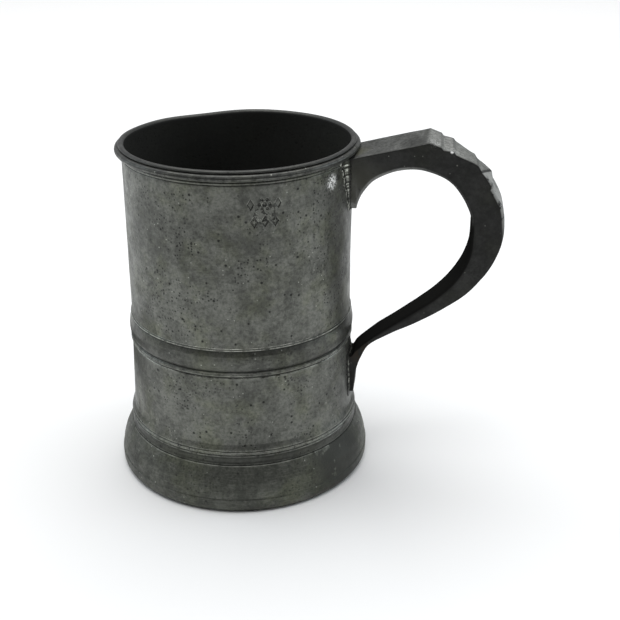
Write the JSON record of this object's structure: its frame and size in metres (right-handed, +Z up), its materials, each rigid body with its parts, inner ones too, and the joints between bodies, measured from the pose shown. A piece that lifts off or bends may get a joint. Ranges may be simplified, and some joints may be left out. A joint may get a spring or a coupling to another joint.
{
  "type": "tankard",
  "caption": "Straight-sided pewter drinking mug with convex waist band, flared hollow foot, moulded rim and cast D handle with stepped thumb rest.",
  "frame": {"origin": "on the surface the mug stands on, under the middle of its overall length with the handle; the drum's axis is 23.9 mm towards -X", "axes": "+Z up along the drum's axis, +X towards the handle, +Y across the handle"},
  "size_m": [0.1446, 0.0968, 0.1301],
  "materials": {
    "drum_pewter": "oxidised satin, fine turning lines",
    "rim_pewter": "rubbed brighter by use",
    "band_pewter": "oxidised satin",
    "foot_pewter": "oxidised satin, olive cast",
    "handle_pewter": "dark oxidised cast surface",
    "solder": "rough soft solder"
  },
  "bodies": {
    "root": {"upper_drum": "drum_pewter", "lip_band": "rim_pewter", "waist_band": "band_pewter", "waist_solder": "solder", "lower_drum": "drum_pewter", "foot_solder": "solder", "foot_skirt": "foot_pewter", "base_disc": "foot_pewter", "base_solder": "solder", "handle": "handle_pewter", "upper_handle_solder": "solder", "lower_handle_solder": "solder"}
  },
  "joints": []
}
